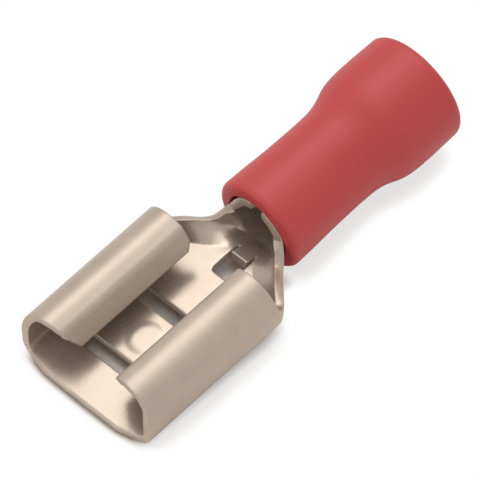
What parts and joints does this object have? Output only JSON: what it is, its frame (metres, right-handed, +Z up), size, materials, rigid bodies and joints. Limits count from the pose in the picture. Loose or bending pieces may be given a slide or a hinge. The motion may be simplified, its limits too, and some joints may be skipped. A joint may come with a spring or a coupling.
{
  "type": "female spade terminal",
  "caption": "Insulated female spade terminal: flat folded receptacle with two rolled wings on a barrel in a flared red sleeve.",
  "frame": {"origin": "middle of the receptacle floor's front edge, on the floor's underside", "axes": "+X from the receptacle's mouth to the wire end of the sleeve, +Z up from the floor to the wings, +Y across"},
  "size_m": [0.0204, 0.0076, 0.0054],
  "materials": {
    "tinned_brass": "satin tin plate",
    "red_vinyl": "satin"
  },
  "bodies": {
    "root": {"receptacle_terminal": "tinned_brass", "insulating_sleeve": "red_vinyl"}
  },
  "joints": []
}
